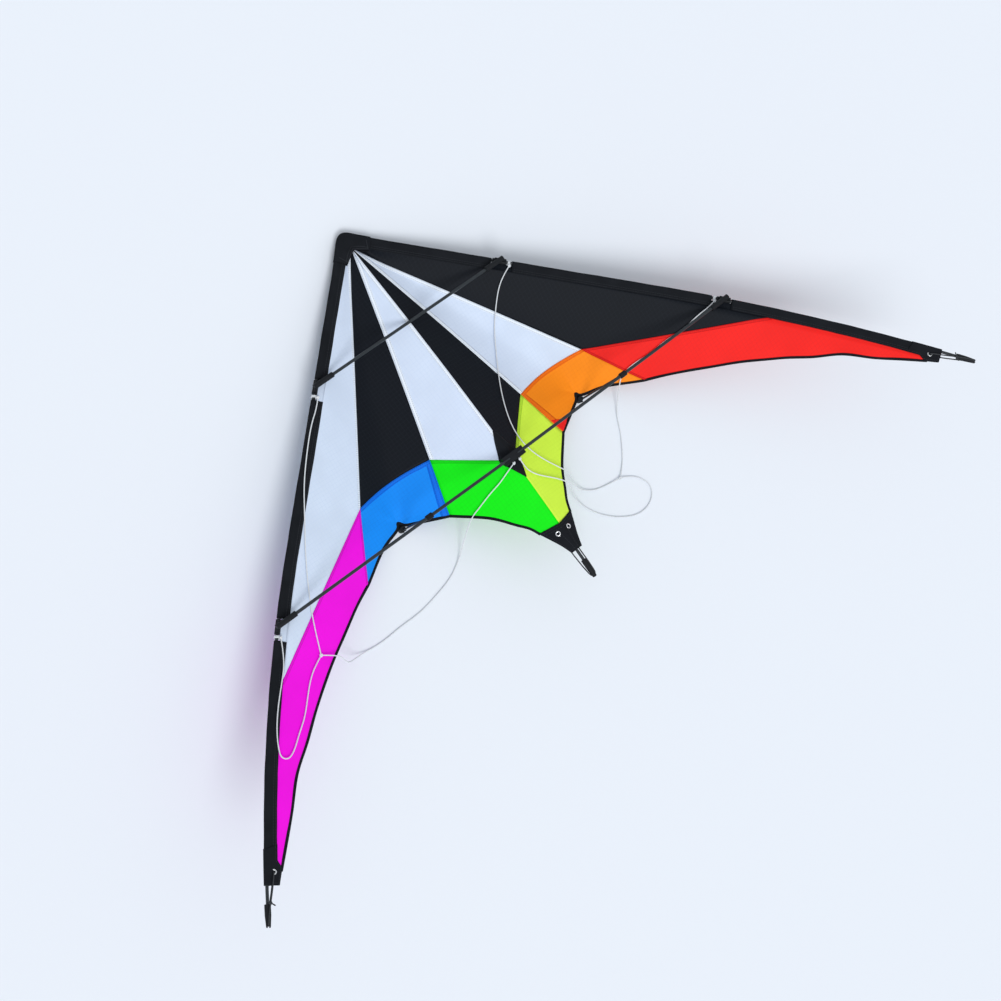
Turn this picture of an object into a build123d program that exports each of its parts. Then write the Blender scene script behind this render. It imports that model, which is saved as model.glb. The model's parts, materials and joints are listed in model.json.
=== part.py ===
from build123d import *
import math
import os

# A dual-line delta kite, lying on its back with its spreaders up, in millimetres.
# It is drawn in its own frame and laid on the floor at the end: the frame's origin is on the
# sail under the centre fitting, +X runs to the right wing, +Y to the nose, +Z to the spreaders.

# Outline of the frame
nose_y = 356.0          # where the two leading edges meet
bend_x = 300.0          # a leading edge is straight from the nose to here, then curves to the tip
bend_y = 74.0
tip_x = 600.0           # half of the span
tip_y = -268.0
tip_lift = 30.0         # how far the tip stands above the plane of the frame
tail_y = -182.0         # end of the tail nock
centre_drop = 5.0       # how far the bowed spine lets the sail down at the centre and at the tail
tail_drop = 28.0
notch_depth = 66.0      # how far the stand-offs push the sail down
notch = (152.5, 24.0)

# Rods
spar_radius = 2.0
spine_radius = 2.0
upper_rod_radius = 2.0
lower_rod_radius = 2.1
standoff_radius = 1.25

# Stations along a leading edge, from the nose
upper_station = 208.0
lower_station = 515.0
band_station = 580.0    # where the seam above the coloured band meets the sleeve
sail_tip_margin = 75.0  # from the tip back to the end of the sail, the sleeve and the patch
sleeve_tip_margin = 88.0
patch_end_margin = 48.0
nock_length = 26.0

# Cloth and webbing
cloth = 0.8
seam_gap = 0.3
spine_gap = 0.9         # the sail falls away on both sides of the spine beneath it
hem_width = 2.5
patch_thickness = 0.6
tip_patch_thickness = 1.6
webbing = 1.0
sleeve_width = 12.5     # from the spar to the edge that the sail is sewn to
sleeve_wall = 1.1
connector_gap = 34.0    # length of the cut-out in the sleeve at a connector

# Fittings
running_gap = 0.08      # radial clearance of a fitting that turns on a rod
rest_gap = 0.3          # clearance of a rod that lies in an open saddle
push_gap = 0.05         # clearance of a rod pushed into a fitting
fitting_wall = 1.5
connector_length = 18.0
socket_length = 26.0
socket_lift = 7.5       # height of a spreader above the leading-edge spar it is carried on
saddle_lift = 6.5       # height of the lower spreaders above the sail at the centre
saddle_rim = 2.2
centre_length = 32.0
centre_width = 11.0
centre_floor = 1.8
stem_length = 12.0
rod_end_x = 6.5
clip_x = {"left": 139.0, "right": 188.0}
clip_length = 9.0
clip_wall = 1.6
clip_reach = 9.0
foot_setback = 11.0     # the stand-off's foot stands this far behind the notch, and lower
foot_height = -4.0
foot_room = 0.5
socket_base = -7.0
socket_rim = 2.0
socket_cap = 4.2
tab_width = 7.0
tab_reach = 4.0
tab_thickness = 1.2
tab_fall = 2.4
spar_start = 4.0
sleeve_start = 17.0
spine_nose_y = nose_y - 13.0
cap_station = 38.0      # the nose cap: its reach along the edges, its height and its margin
cap_margin = 4.5
cap_inner_y = nose_y - 30.0
cap_top = 4.5
cap_bottom = -6.0
nock_wall = 1.8
nock_taper = 14.0      # length of the narrowing end, and the radius it narrows to
nock_tip = 2.7
nock_slot = 4.0
nock_gap = 0.15
eyelet_wall = 0.7
eyelet_seat = 0.3       # a pressed flange's distance from the patch
eyelet_y = -111.0
eyelet_x = 8.5
tip_eyelet_margin = 63.0
tip_eyelet_inset = 8.0
eyelet_bore = 1.8
eyelet_flange = 3.5
cord_radius = 0.8       # tension cords
line_radius = 0.75      # bridle lines
line_gap = 0.15
loop_spacing = 13.0     # from a connector's middle to the bridle loop beside it
knot_inset = 4.6        # a loop's knot, from the spar's axis towards the sail and upwards
knot_rise = 2.2
knot_radius = 2.0
tow_knot_radius = 2.4
centre_knot_x = 5.0

# Seams of one wing, as places on the plan
fan_y = nose_y - 26.0   # the three long gores start here, under the nose cap
fan_apex_y = nose_y - 20.0
centre_seam_y = -5.0
inner_top = (77.0, 62.0)
outer_top = (187.0, 64.0)
inner_trail = (97.0, -9.0)
outer_trail = (236.0, -17.0)
tail_seam_y = -101.0
tail_corner = (24.5, -99.0)
long_steps = 8          # facets along a gore, across the panels and along the tip
cross_steps = 5
middle_steps = 6
band_steps = 3
tip_steps = 4
inner_scallop = [tail_corner, (31, -84), (41, -70), (61, -43), inner_trail]
middle_scallop = [inner_trail, (133, 9), (146, 16), notch, (160, 17), (192, 7), outer_trail]
outer_scallop = [outer_trail, (268, -31), (304, -50), (345, -72), (393, -102), (428, -127),
                 (463, -150), (496, -181), (527, -208), (556, -233)]

centre_patch = [(1.0, 41), (6, 29), (12, 13), (15, 3), (9, -10), (1.0, -30)]
tail_patch = [(24.5, -99.5), (19, -112), (13, -126), (8.5, -139)]
patch_lift = 0.2

# Routes of the bridle lines, from knot to knot, and of the right half of the tail's cord
bridle_routes = {
    "left_upper_outhaul": [
        (-157.8, 201.2, 2.2), (-168, 191, 4.6), (-188, 177, 5.2), (-213, 153, 5.2),
        (-241, 123, 4.4), (-265, 90, 3), (-285, 62, -1.2), (-304, 33, -4.9), (-321, 4, -8.8),
        (-336, -26, -13.1), (-348, -55, -17.1)],
    "left_lower_outhaul": [
        (-379.4, -10.9, 4.2), (-386, -23, 4.9), (-398, -41, 6), (-415, -57, 7.4),
        (-434, -75, 9.2), (-451, -94, 11.2), (-463, -112, 12.6), (-468, -124, 12.8),
        (-461, -131, 8.5), (-449, -127, 4.5), (-432, -115, 0.6), (-413, -103, -4.2),
        (-397, -88, -6.7), (-381, -73, -9.1), (-365, -62, -12.6), (-348, -55, -17.1)],
    "left_inhaul": [
        (-5, -7.6, 0), (-15, -11, -11.1), (-29, -16, -18.6), (-46, -19, -27), (-63, -24, -35.1),
        (-79, -28, -40.9), (-90, -38, -60), (-101, -50, -79), (-116, -62, -88.3),
        (-137, -72, -90.3), (-164, -78, -91.5), (-194, -83, -92.5), (-226, -82, -92.3),
        (-257, -84, -92.7), (-285, -80, -91.9), (-305, -80, -80), (-315, -80, -60),
        (-322, -77, -41), (-327, -70, -25.5), (-337, -61, -24.2), (-348, -55, -17.1)],
    "right_upper_outhaul": [
        (157.8, 201.2, 2.2), (147, 197, 1), (134, 189, -9), (120, 173, -22), (104, 152, -34.4),
        (87, 127, -36), (69, 103, -30.4), (53, 80, -24.2), (40, 57, -19.1), (31, 35, -15.8),
        (28, 14, -15.8), (32, -7, -19.5), (41, -25, -25), (52, -42, -29.9), (62, -55, -36.5),
        (70, -67, -65), (80, -80, -88), (98, -92, -94.3), (119, -97, -95.2), (140, -100, -94)],
    "right_lower_outhaul": [
        (361.3, 7.7, 3.4), (350, 5.5, 3.4), (332, 6, -3.2), (309, 3, -14.3), (284, 6, -23.9),
        (257, 5, -35.7), (232, 8, -44.7), (212, 5, -51.7), (202, -7, -60), (194, -20, -76),
        (185, -34, -82.8), (178, -52, -86.4), (167, -70, -89.9), (155, -87, -93.3),
        (140, -100, -94)],
    "right_inhaul": [
        (5, -7.6, 0), (6, -20, -7.3), (13, -33, -12), (25, -43, -18.6), (37, -52, -24.9),
        (48, -63, -29.4), (55, -70, -40), (60, -78, -62), (66, -88, -82), (74, -101, -96),
        (87, -122, -100.2), (108, -141, -103.9), (135, -154, -106.5), (160, -150, -105.7),
        (173, -133, -102.3), (165, -115, -98.8), (153, -105, -96.8), (140, -100, -94)],
}
tail_route = [(8.7, -111.05, -20.4), (6.4, -110.4, -25.9), (6.2, -122, -28.6),
              (5.9, -140, -30.2), (5.7, -160, -31), (5.5, -180, -31.4)]
# The upper half of a tip's cord: back from the tip, in from the spar, above it
tip_route = [(63, 8, 0.3), (63, 8, 3.6), (56.5, 7.3, 4.4), (44.5, 6, 5.0), (27, 3.4, 5.4),
             (11, 0.6, 5.6), (2, 0, 5.6)]

nose = Vector(0, nose_y, 0)
bend = Vector(bend_x, bend_y, 0)
tip = Vector(tip_x, tip_y, tip_lift)
straight = (bend - nose).length
edge_way = (bend - nose).normalized()
bend_chord = tip - bend
chord_along = bend_chord.dot(edge_way)
chord_aside = (bend_chord - edge_way * chord_along).length
bend_side = (bend_chord - edge_way * chord_along).normalized()
bend_radius = bend_chord.length ** 2 / (2 * chord_aside)
edge_length = straight + bend_radius * 2 * math.atan2(chord_aside, chord_along)

notch_radius = math.hypot(notch[0], nose_y - notch[1])
tip_radius = math.hypot(tip_x, nose_y - tip_y)
notch_angle = math.atan2(notch[0], nose_y - notch[1])
edge_angle = math.atan2(bend_x, nose_y - bend_y)
tip_angle = math.atan2(tip_x, nose_y - tip_y)
collar_radius = spar_radius + fitting_wall
stem_width = 2 * (spine_radius + fitting_wall)
spar_end = edge_length - 2 * nock_slot - rest_gap
spine_tail_y = tail_y + 2 * nock_slot + rest_gap


# ---- the shape of the stretched sail ----

def edge_at(station):
    """Point and direction of the right leading-edge spar, so many mm from the nose."""
    if station <= straight:
        return nose + edge_way * station, edge_way
    turn = (station - straight) / bend_radius
    point = bend + edge_way * (bend_radius * math.sin(turn))
    point += bend_side * (bend_radius * (1 - math.cos(turn)))
    return point, edge_way * math.cos(turn) + bend_side * math.sin(turn)


def inward(direction):
    """Level direction from the leading edge into the sail."""
    return Vector(direction.Y, -direction.X, 0).normalized()


def sleeve_edge(station):
    """Place on the plan where the sail meets the sleeve."""
    point, direction = edge_at(station)
    place = point + inward(direction) * (sleeve_width + seam_gap)
    return place.X, place.Y


def spine_height(y):
    """The spine bows: the sail's height along it, through the nose, the centre and the tail."""
    length = nose_y - y
    centre, tail = nose_y, nose_y - tail_y
    bow = (tail_drop - centre_drop * tail / centre) / (tail * (tail - centre))
    rise = bow * centre - centre_drop / centre
    return length * rise - bow * length ** 2


def sleeve_angle(reach):
    """Angle from the spine to the sleeve's sewn edge, so many mm from the nose."""
    beyond_bend = max(0.0, (reach - straight) / (tip_radius - straight))
    widest = edge_angle + (tip_angle - edge_angle) * min(1.0, beyond_bend)
    return widest - (sleeve_width + seam_gap) / max(reach, 4 * sleeve_width)


def sail_height(x, y):
    """Height of the sail's upper face: a shallow cone from the nose, deepest at the notch."""
    reach = math.hypot(x, nose_y - y)
    widest = sleeve_angle(reach)
    angle = min(math.atan2(abs(x), nose_y - y), widest)
    if angle < notch_angle:
        share = 0.5 * angle / notch_angle
    else:
        share = 1 - 0.5 * (widest - angle) / (widest - notch_angle)
    ridge = 1 - abs(2 * share - 1)
    fullness = 0.5 * (ridge + math.sin(math.pi * share))
    past_notch = max(0.0, (reach - notch_radius) / (tip_radius - notch_radius))
    fade = max(0.0, 1 - past_notch) ** 0.7
    height = -notch_depth * reach / notch_radius * fullness * fade
    height += spine_height(y) * (1 - angle / widest)
    past_bend = max(0.0, (abs(x) - bend_x) / (tip_x - bend_x))
    return height + tip_lift * past_bend ** 2


def sail_normal(x, y):
    """Place on the sail with its Z square to the cloth."""
    step = 2.0
    slope_x = (sail_height(x + step, y) - sail_height(x - step, y)) / (2 * step)
    slope_y = (sail_height(x, y + step) - sail_height(x, y - step)) / (2 * step)
    return Plane(origin=(x, y, sail_height(x, y)), z_dir=(-slope_x, -slope_y, 1))


# ---- building blocks ----

def mixed(start, end, share):
    return tuple(a + (b - a) * share for a, b in zip(start, end))


def line_of(start, end, steps):
    return [mixed(start, end, i / steps) for i in range(steps + 1)]


def skin(first, last, steps, lift=0.0, thickness=cloth):
    """Thin closed solid on the sail between two lines of matched places on the plan."""
    top = []
    for start, end in zip(first, last):
        row = line_of(start, end, steps)
        top.append([Vector(x, y, sail_height(x, y) + lift) for x, y in row])
    low = [[point - Vector(0, 0, thickness) for point in row] for row in top]
    faces = []
    for grid in (top, low):
        for near, far in zip(grid, grid[1:]):
            for j in range(steps):
                faces.append(flat(near[j], near[j + 1], far[j + 1]))
                faces.append(flat(near[j], far[j + 1], far[j]))
    rims = [(top[0], low[0]), (top[-1], low[-1])]
    for end in (0, -1):
        rims.append(([row[end] for row in top], [row[end] for row in low]))
    for upper, lower in rims:
        for i in range(len(upper) - 1):
            faces.append(flat(upper[i], upper[i + 1], lower[i + 1], lower[i]))
    return Solid(Shell(faces))


def flat(*corners):
    return Face(Wire.make_polygon(corners, close=True))


def rod(start, end, radius):
    """Straight round rod between two points."""
    start, end = Vector(*start), Vector(*end)
    plane = Plane(origin=start, z_dir=end - start)
    return extrude(plane * Circle(radius), (end - start).length)


def edge_path(start, end):
    """The line of the right leading edge between two stations."""
    parts = []
    if start < straight:
        parts.append(Line(edge_at(start)[0], edge_at(min(end, straight))[0]))
    if end > straight:
        first = max(start, straight)
        middle = (first + end) / 2
        parts.append(ThreePointArc(edge_at(first)[0], edge_at(middle)[0], edge_at(end)[0]))
    return Wire([part.edge() for part in parts])


def edge_plane(station):
    """Section plane across the leading edge, its X pointing into the sail."""
    point, direction = edge_at(station)
    return Plane(origin=point, x_dir=inward(direction), z_dir=direction)


def edge_rod(start, end, radius):
    return sweep(edge_plane(start) * Circle(radius), path=edge_path(start, end))


def edge_fold(start, end, radius, width, thickness):
    """Cloth folded round the leading-edge spar, with a flat flap towards the sail."""
    section = Circle(radius) + Pos(width / 2, 0) * Rectangle(width, thickness)
    section -= Circle(spar_radius + push_gap)
    return sweep(edge_plane(start) * section, path=edge_path(start, end))


def rod_plane(start, end):
    """Section plane across a rod, its Y pointing up."""
    way = (end - start).normalized()
    side = way.cross(Vector(0, 0, 1))
    return Plane(origin=start, x_dir=side, z_dir=way)


def saddle_cut(start, end, radius):
    """What an open saddle leaves out: the rod's own bed and the way up out of it."""
    width = 2 * (radius + rest_gap)
    height = 6 * radius
    section = Circle(radius + rest_gap) + Pos(0, height / 2) * Rectangle(width, height)
    return extrude(rod_plane(start, end) * section, (end - start).length)


def cord(points, radius, start_trim=0.0, end_trim=0.0):
    """A tube along straight runs joined by arcs as large as the runs allow."""
    route = [Vector(*point) for point in points]
    route[0] += (route[1] - route[0]).normalized() * start_trim
    route[-1] += (route[-2] - route[-1]).normalized() * end_trim
    radii = []
    for before, corner, after in zip(route, route[1:], route[2:]):
        turn = math.radians((corner - before).get_angle(after - corner))
        shorter = min((corner - before).length, (after - corner).length)
        radii.append(0.45 * shorter / math.tan(turn / 2))
    path = FilletPolyline(*route, radius=radii)
    tube = sweep(Plane(origin=route[0], z_dir=route[1] - route[0]) * Circle(radius), path=path)
    ideal = math.pi * radius ** 2 * path.length
    print("  cord", round(path.length), "mm, volume ratio", round(tube.volume / ideal, 4),
          "radii", [round(r, 1) for r in radii])
    return tube


# ---- the sail, one wing at a time ----

def wing_panels():
    """Six panels of the right wing, each cut where the centre fitting passes through."""
    band_corner = sleeve_edge(band_station)
    fan_station = fan_start()
    gore_ends = [(0.0, centre_seam_y), inner_top, outer_top]
    seams = []
    for end in gore_ends:
        start_x = end[0] * (fan_apex_y - fan_y) / (fan_apex_y - end[1])
        seams.append(line_of((start_x, fan_y), end, long_steps))
    stations = line_of((fan_station,), (band_station,), long_steps)
    seams.append([sleeve_edge(station) for station, in stations])
    panels = {
        "inner_gore": skin(seams[0], seams[1], cross_steps),
        "middle_gore": skin(seams[1], seams[2], middle_steps),
        "outer_gore": skin(seams[2], seams[3], cross_steps),
    }
    inner_line = line_of(gore_ends[0], inner_top, cross_steps)
    inner_bottom = [(0.0, tail_seam_y)] + inner_scallop
    panels["inner_band"] = skin(inner_line, inner_bottom, band_steps)
    middle_line = line_of(inner_top, outer_top, middle_steps)
    panels["middle_band"] = skin(middle_line, middle_scallop, band_steps)
    outer_line = line_of(outer_top, band_corner, cross_steps)
    sail_end = edge_length - sail_tip_margin
    for i in range(1, tip_steps + 1):
        outer_line.append(sleeve_edge(band_station + (sail_end - band_station) * i / tip_steps))
    panels["outer_band"] = skin(outer_line, outer_scallop, band_steps)
    return panels


def fan_start():
    """Station where the sleeve's edge reaches the start of the gores."""
    per_mm = sleeve_edge(0)[1] - sleeve_edge(1)[1]
    return (sleeve_edge(0)[1] - fan_y) / per_mm


def trailing_line():
    return inner_scallop[:-1] + middle_scallop[:-1] + outer_scallop


def trailing_hem():
    """Narrow folded edge along the scallops, from the tail patch to the tip patch."""
    line = [Vector(x, y) for x, y in trailing_line()]
    outer = []
    near = []
    for i, point in enumerate(line):
        ahead = line[min(i + 1, len(line) - 1)] - line[max(i - 1, 0)]
        away = Vector(ahead.Y, -ahead.X).normalized()
        near.append(tuple(point + away * 0.1)[:2])
        outer.append(tuple(point + away * hem_width)[:2])
    return skin(near, outer, 1)


# ---- frame and fittings ----

def spine_point(y):
    return Vector(0, y, spine_height(y) - cloth - spine_gap - spine_radius)


def spine_rod():
    middle_y = (spine_nose_y + spine_tail_y) / 2
    ends = [spine_point(y) for y in (spine_nose_y, middle_y, spine_tail_y)]
    path = Wire([ThreePointArc(*ends).edge()])
    way = path % 0
    return sweep(Plane(origin=path @ 0, z_dir=way) * Circle(spine_radius), path=path)


def lower_line():
    """Axis of the right lower spreader, from its connector to the centre fitting."""
    point, _ = edge_at(lower_station)
    return point + Vector(0, 0, socket_lift), Vector(rod_end_x, 0, saddle_height())


def saddle_height():
    return spine_height(0) + saddle_lift


def upper_line():
    """Axis of the upper spreader, from the left connector to the right one."""
    point, _ = edge_at(upper_station)
    right = point + Vector(0, 0, socket_lift)
    return Vector(-right.X, right.Y, right.Z), right


def connector(station, start, end, rod_radius, spar_gap, open_top):
    """Fitting on the right leading edge: a collar round the spar and a socket for a spreader."""
    point, direction = edge_at(station)
    socket_radius = rod_radius + fitting_wall
    way = (end - start).normalized()
    low = point - direction * (connector_length / 2)
    high = point + direction * (connector_length / 2)
    mouth = start + way * socket_length
    back = start - way * collar_radius
    body = rod(low, high, collar_radius) + rod(back, mouth, socket_radius)
    web = Plane(origin=point, x_dir=inward(direction), z_dir=direction)
    rib = web * Pos(0, -socket_lift / 2) * Rectangle(2 * fitting_wall, socket_lift)
    body += extrude(rib, connector_length / 2 - fitting_wall, both=True)
    body -= rod(low - direction, high + direction, spar_radius + spar_gap)
    if open_top:
        return body - saddle_cut(back - way, mouth + way, rod_radius)
    return body - rod(start, mouth + way, rod_radius + push_gap)


def centre_fitting():
    """Holds the spine under the sail and both lower spreaders in open saddles above it."""
    floor = saddle_height() - lower_rod_radius - rest_gap - centre_floor
    top = saddle_height() + saddle_rim
    body = Pos(0, 0, (floor + top) / 2) * Box(centre_length, centre_width, top - floor)
    spine = spine_point(0)
    ring_radius = spine_radius + fitting_wall
    stem = Pos(0, 0, (floor + spine.Z) / 2) * Box(stem_width, stem_length, floor - spine.Z)
    ring_start = Vector(0, stem_length / 2, spine.Z)
    ring_end = Vector(0, -stem_length / 2, spine.Z)
    body += stem + rod(ring_start, ring_end, ring_radius)
    body -= Pos(0, 0, spine.Z) * Rot(90, 0, 0) * Cylinder(spine_radius + spine_clearance(), 60)
    outer, inner = lower_line()
    way = (inner - outer).normalized()
    cut = saddle_cut(inner - way * centre_length, inner + way * rest_gap, lower_rod_radius)
    return body - cut - mirror(cut, Plane.YZ)


def spine_clearance():
    """The spine is an arc, so its straight bore in the centre fitting is a little wider."""
    half = stem_length / 2
    sag = spine_height(0) - (spine_height(half) + spine_height(-half)) / 2
    lean = abs(spine_height(half) - spine_height(-half)) / 2
    return push_gap + abs(sag) + lean


def stem_hole():
    width = stem_width + 2 * rest_gap
    length = stem_length + 2 * rest_gap
    return Box(width, length, 40)


def standoff_line(side):
    """Axis of a stand-off on the right wing, from its clip to its foot."""
    start, end = lower_line()
    share = (start.X - clip_x[side]) / (start.X - end.X)
    clip = start + (end - start) * share
    x, y = notch[0], notch[1] - foot_setback
    return clip, Vector(x, y, sail_height(*notch) + foot_height)


def standoff_parts(side):
    clip, foot = standoff_line(side)
    way = (foot - clip).normalized()
    start, end = lower_line()
    along = (end - start).normalized()
    ring_radius = lower_rod_radius + clip_wall
    ring = rod(clip - along * clip_length / 2, clip + along * clip_length / 2, ring_radius)
    spigot_radius = standoff_radius + clip_wall / 2
    ring += rod(clip + way * lower_rod_radius, clip + way * clip_reach, spigot_radius)
    ring -= rod(clip - along * clip_length, clip + along * clip_length,
                lower_rod_radius + running_gap)
    seat = clip + way * (ring_radius + push_gap)
    ring -= rod(seat - way * push_gap, clip + way * (clip_reach + 1), standoff_radius + push_gap)
    return ring, rod(seat, foot, standoff_radius)


def foot_socket(side):
    """Cap at the notch that holds the stand-off's foot, open on the side of the tail."""
    body = Pos(0, 0, (socket_base + socket_rim) / 2)
    body *= Cylinder(socket_cap, socket_rim - socket_base)
    tab_top = -cloth - seam_gap - tab_fall
    tab_end = foot_setback + tab_reach
    tab = Pos(0, tab_end / 2, tab_top - tab_thickness / 2)
    body += tab * Box(tab_width, tab_end, tab_thickness)
    x, y = notch[0], notch[1] - foot_setback
    body = Pos(x, y, sail_height(*notch)) * Rot(rest_tilt(), 0, 0) * body
    clip, foot = standoff_line(side)
    way = (foot - clip).normalized()
    start, end = lower_line()
    leaving = way.cross(start - end).normalized()
    if leaving.Y > 0:
        leaving = -leaving
    bed = Plane(origin=foot + way * foot_room, x_dir=leaving, z_dir=-way)
    slot = 2 * (standoff_radius + foot_room)
    section = Circle(slot / 2) + Pos(socket_cap, 0) * Rectangle(2 * socket_cap, slot)
    return body - extrude(bed * section, 4 * socket_cap)


def rest_tilt():
    """Slope, in degrees, at which the nose cap and both foot sockets reach the floor."""
    run = nose_y + cap_margin - (notch[1] - foot_setback)
    rise = cap_bottom - sail_height(*notch)
    reach = math.hypot(run, rise)
    return math.degrees(math.atan2(rise, run) + math.asin(-socket_base / reach))


def nose_outline(inset, tail_reach):
    """Plan of the nose cap: over both leading edges, with a blunt corner."""
    point, direction = edge_at(cap_station)
    side = inward(direction)
    outer = point - side * (cap_margin - inset)
    inner = point + side * (sleeve_width + seam_gap + cap_margin / 2 - inset)
    inner += direction * tail_reach
    outer += direction * tail_reach
    front = nose_y + cap_margin - inset
    slope = direction.X / -direction.Y
    edge_start = nose - side * (cap_margin - inset)
    blunt_x = edge_start.X + (edge_start.Y - front) * slope
    right = [(blunt_x, front), (outer.X, outer.Y), (inner.X, inner.Y)]
    left = [(-x, y) for x, y in reversed(right)]
    middle = [(0, cap_inner_y - tail_reach)]
    return make_face(Polyline(*right, *middle, *left, close=True))


def nose_cap():
    height = cap_top - cap_bottom
    body = extrude(Pos(0, 0, cap_bottom) * nose_outline(0, 0), height)
    hollow = extrude(Pos(0, 0, cap_bottom + webbing) * nose_outline(webbing, 20),
                     height - 2 * webbing)
    return body - hollow


def eyelet(place, thickness):
    """Pressed ring through a patch, a flange on each face."""
    half = thickness / 2 + eyelet_seat + eyelet_wall / 2
    barrel = Cylinder(eyelet_bore + eyelet_wall, 2 * half)
    flange = Cylinder(eyelet_flange, eyelet_wall)
    body = barrel + Pos(0, 0, half) * flange + Pos(0, 0, -half) * flange
    body -= Cylinder(eyelet_bore, 4 * half + 2)
    return place * body


def eyelet_hole(place):
    return place * Cylinder(eyelet_bore + eyelet_wall + eyelet_seat, 12)


def nock(end, way, across, rod_radius):
    """Push-on end cap with a slot across its end for the tension cord."""
    radius = rod_radius + nock_wall
    shoulder = Plane(origin=end - way * nock_taper, x_dir=across, z_dir=way)
    cone = loft([shoulder * Circle(radius), shoulder.offset(nock_taper) * Circle(nock_tip)])
    body = rod(end - way * nock_length, end - way * nock_taper, radius) + cone
    body = fillet(body.edges().sort_by(Axis(end, way))[-1], nock_tip * 0.4)
    body -= rod(end - way * (nock_length + 1), end - way * nock_slot * 2, rod_radius + nock_gap)
    slot = Plane(origin=end, x_dir=across, z_dir=way)
    width = 2 * (cord_radius + rest_gap)
    return body - extrude(slot * Rectangle(6 * radius, width), nock_slot, both=True)


def patch_rows(places):
    """A patch lying on the sail, from half-outline places on the right and their mirror."""
    left = [(-x, y) for x, y in places]
    return skin(left, places, 4, patch_lift + patch_thickness, patch_thickness)


def edge_sleeve():
    """Three lengths of sleeve on a leading edge, open at both connectors."""
    cuts = [sleeve_start]
    for station in (upper_station, lower_station):
        cuts += [station - connector_gap / 2, station + connector_gap / 2]
    cuts.append(edge_length - sleeve_tip_margin)
    lengths = [edge_fold(start, end, spar_radius + sleeve_wall, sleeve_width, sleeve_wall)
               for start, end in zip(cuts[::2], cuts[1::2])]
    return Compound(lengths)


def both(name, shape_of, nodes):
    """A right-hand piece and its mirror image."""
    nodes["right_" + name] = shape_of("right")
    nodes["left_" + name] = mirror(shape_of("left"), Plane.YZ)


def sail_nodes(nodes):
    hole = stem_hole()
    for name, panel in wing_panels().items():
        if name in ("inner_gore", "inner_band"):
            panel -= hole
        nodes["right_" + name] = panel
        nodes["left_" + name] = mirror(panel, Plane.YZ)
    nodes["centre_patch"] = patch_rows(centre_patch) - hole
    tail = patch_rows(tail_patch)
    for place in tail_eyelet_places():
        tail -= eyelet_hole(place)
    nodes["tail_patch"] = tail
    both("trailing_hem", lambda side: trailing_hem(), nodes)
    both("leading_edge_sleeve", lambda side: edge_sleeve(), nodes)
    both("tip_patch", lambda side: tip_patch(), nodes)
    nodes["nose_cap"] = nose_cap()


def tail_eyelet_places():
    return [lifted(sail_normal(x, eyelet_y), patch_lift + patch_thickness / 2)
            for x in (-eyelet_x, eyelet_x)]


def lifted(plane, height):
    return plane.offset(height).location


def tip_patch():
    start = edge_length - sleeve_tip_margin + seam_gap
    end = edge_length - patch_end_margin
    fold = edge_fold(start, end, spar_radius + webbing, sleeve_width, tip_patch_thickness)
    return fold - eyelet_hole(tip_eyelet_place())


def tip_eyelet_place():
    plane = edge_plane(edge_length - tip_eyelet_margin)
    origin = plane.origin + plane.x_dir * tip_eyelet_inset
    return Plane(origin=origin, x_dir=plane.x_dir, z_dir=plane.x_dir.cross(plane.z_dir)).location


def frame_nodes(nodes):
    nodes["spine"] = spine_rod()
    both("leading_edge_spar", lambda side: edge_rod(spar_start, spar_end, spar_radius), nodes)
    start, end = upper_line()
    nodes["upper_spreader"] = rod(start, end, upper_rod_radius)
    nodes["right_upper_connector"] = connector(upper_station, end, start, upper_rod_radius,
                                               push_gap, True)
    nodes["left_upper_connector"] = mirror(
        connector(upper_station, end, start, upper_rod_radius, running_gap, False), Plane.YZ)
    start, end = lower_line()
    both("lower_spreader", lambda side: rod(start, end, lower_rod_radius), nodes)
    both("lower_connector", lambda side: connector(lower_station, start, end, lower_rod_radius,
                                                   running_gap, False), nodes)
    nodes["centre_fitting"] = centre_fitting()
    both("standoff_clip", lambda side: standoff_parts(side)[0], nodes)
    both("standoff", lambda side: standoff_parts(side)[1], nodes)
    both("standoff_socket", foot_socket, nodes)


def end_nodes(nodes):
    """Eyelets and nocks."""
    nodes["tail_eyelets"] = Compound([eyelet(place, patch_thickness)
                                      for place in tail_eyelet_places()])
    both("tip_eyelet", lambda side: eyelet(tip_eyelet_place(), tip_patch_thickness), nodes)
    near, far = spine_point(tail_y + nock_length), spine_point(tail_y)
    nodes["tail_nock"] = nock(far, (far - near).normalized(), Vector(1, 0, 0), spine_radius)
    near, far = edge_at(edge_length - nock_length)[0], edge_at(edge_length)[0]
    across = Vector(0, 0, 1)
    both("tip_nock", lambda side: nock(far, (far - near).normalized(), across, spar_radius), nodes)


def tension_cords(nodes):
    """Cords from the eyelets over the nocks, which keep the sail tight."""
    left = [(-x, y, z) for x, y, z in tail_route]
    nodes["tail_tension_cord"] = cord(tail_route + left[::-1], cord_radius)
    upper = [tip_place(*place) for place in tip_route]
    lower = [tip_place(back, inset, -height) for back, inset, height in tip_route]
    loop = cord(upper + lower[::-1], cord_radius)
    loop += Pos(tip_place(*tip_route[4])) * Sphere(knot_radius)
    both("tip_tension_cord", lambda side: loop, nodes)


def tip_place(back, inset, height):
    """Point beside the leading edge, measured back from the tip."""
    plane = edge_plane(edge_length - back)
    return plane.origin + plane.x_dir * inset + Vector(0, 0, height)


def bridle_loop(station):
    """Loop of line round the spar in the sleeve's cut-out, with its knot."""
    ring = edge_plane(station) * Torus(spar_radius + line_gap + line_radius, line_radius)
    return ring + Pos(loop_knot(station)) * Sphere(knot_radius)


def loop_knot(station):
    point, direction = edge_at(station)
    return point + inward(direction) * knot_inset + Vector(0, 0, knot_rise)


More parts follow.
